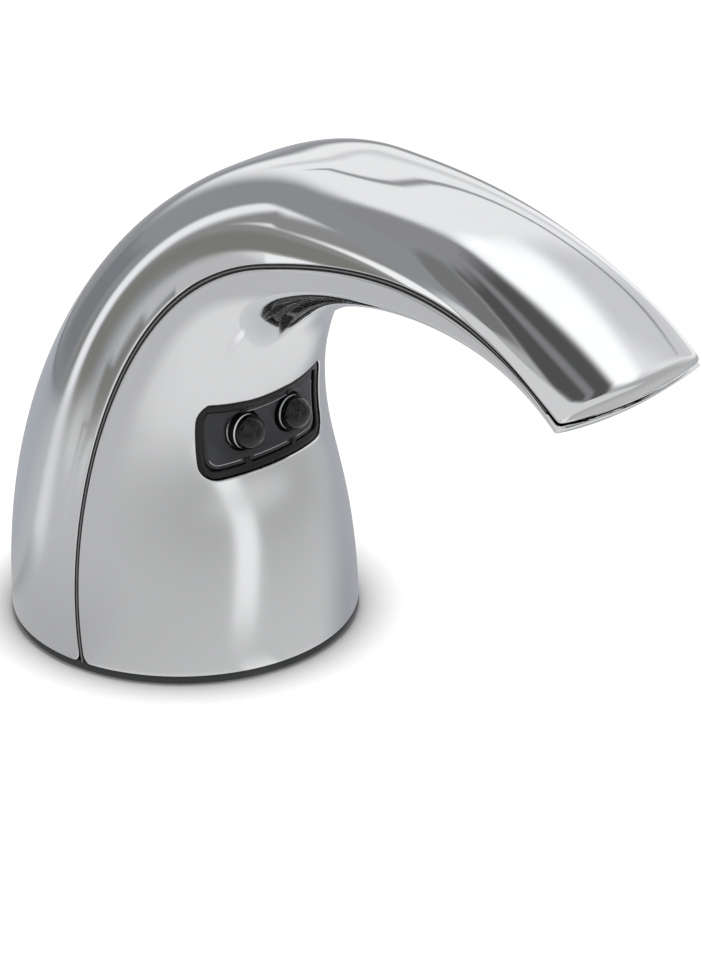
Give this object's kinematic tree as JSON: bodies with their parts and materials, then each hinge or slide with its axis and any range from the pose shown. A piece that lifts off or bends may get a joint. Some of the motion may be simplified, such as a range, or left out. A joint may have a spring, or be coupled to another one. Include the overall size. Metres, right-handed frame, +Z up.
{
  "type": "automatic soap dispenser",
  "caption": "Chromed deck-mounted soap dispenser head with a curved spout, an infrared sensor window and a motor-driven tube pump inside.",
  "frame": {"origin": "on the deck, under the middle of the round base", "axes": "+Z up, spout along -Y, X across the symmetry plane of the shells"},
  "size_m": [0.085, 0.1877, 0.1336],
  "materials": {
    "chrome": "polished chrome plate on zinc",
    "seam_rubber": "dark grey soft strip",
    "gasket_rubber": "black moulded rubber",
    "zinc": "plain cast zinc",
    "screw_steel": "zinc plated screws",
    "black_gloss": "black glossy moulded plastic",
    "smoked_cover": "smoked infrared window",
    "lens_clear": "clear domed lens",
    "black_matte": "black moulded plastic",
    "diode_dark": "dark infrared diode",
    "board_green": "solder-masked board",
    "ribbon_grey": "grey ribbon cable",
    "pump_white": "natural moulded plastic",
    "tube_silicone": "translucent silicone",
    "fitting_white": "white moulded fitting",
    "gear_white": "moulded acetal",
    "roller_steel": "turned steel",
    "pinion_brass": "cut brass",
    "motor_steel": "drawn steel can",
    "lead_black": "insulated lead",
    "chip_black": "moulded component"
  },
  "bodies": {
    "housing": {"rear_shell": "chrome", "front_shell": "chrome", "seam_strip": "seam_rubber", "base_gasket": "gasket_rubber", "base_plate": "zinc", "shell_screws": "screw_steel", "sensor_bezel": "black_gloss", "sensor_cover": "smoked_cover", "lens_emitter": "lens_clear", "lens_receiver": "lens_clear", "lens_holder": "black_matte", "ir_emitter": "diode_dark", "ir_receiver": "diode_dark", "sensor_board": "board_green", "sensor_screws": "screw_steel", "sensor_ribbon": "ribbon_grey", "pump_body": "pump_white", "pump_cover": "pump_white", "pump_tube": "tube_silicone", "inlet_elbow": "fitting_white", "outlet_elbow": "fitting_white", "gear_spacers": "roller_steel", "gear_plate": "zinc", "frame_screws": "screw_steel", "gear_pin": "roller_steel", "motor": "motor_steel", "motor_screws": "screw_steel", "motor_leads": "lead_black", "control_bracket": "zinc", "control_board": "board_green", "control_chips": "chip_black", "power_inlet": "fitting_white", "board_screws": "screw_steel", "delivery_tube": "tube_silicone", "nozzle": "black_matte", "nozzle_seal": "gasket_rubber", "nozzle_valve": "tube_silicone"},
    "rotor": {"pump_rotor": "pump_white", "rotor_cap": "pump_white", "rotor_gear": "gear_white"},
    "roller_a": {"roller_1": "roller_steel"},
    "roller_b": {"roller_2": "roller_steel"},
    "roller_c": {"roller_3": "roller_steel"},
    "idler": {"compound_gear": "gear_white"},
    "drive": {"drive_pinion": "pinion_brass", "motor_shaft": "roller_steel"}
  },
  "joints": [
    {"name": "rotor_spin", "type": "hinge", "parent": "housing", "child": "rotor", "pos_m": [-0.004, 0, 0.03], "axis": [0, 0, 1], "continuous": true},
    {"name": "roller_a_spin", "type": "hinge", "parent": "rotor", "child": "roller_a", "pos_m": [0.0048, 0, 0.03], "axis": [0, 0, 1], "continuous": true},
    {"name": "roller_b_spin", "type": "hinge", "parent": "rotor", "child": "roller_b", "pos_m": [-0.0084, 0.00762, 0.03], "axis": [0, 0, 1], "continuous": true},
    {"name": "roller_c_spin", "type": "hinge", "parent": "rotor", "child": "roller_c", "pos_m": [-0.0084, -0.00762, 0.03], "axis": [0, 0, 1], "continuous": true},
    {"name": "idler_spin", "type": "hinge", "parent": "housing", "child": "idler", "pos_m": [-0.02, 0, 0.04], "axis": [0, 0, 1], "continuous": true},
    {"name": "drive_spin", "type": "hinge", "parent": "housing", "child": "drive", "pos_m": [-0.004, 0, 0.05], "axis": [0, 0, 1], "continuous": true}
  ],
  "couplings": [
    {"joint": "roller_a_spin", "follows": "rotor_spin", "ratio": -3.2},
    {"joint": "roller_b_spin", "follows": "rotor_spin", "ratio": -3.2},
    {"joint": "roller_c_spin", "follows": "rotor_spin", "ratio": -3.2},
    {"joint": "idler_spin", "follows": "rotor_spin", "ratio": -3},
    {"joint": "drive_spin", "follows": "rotor_spin", "ratio": 9}
  ]
}
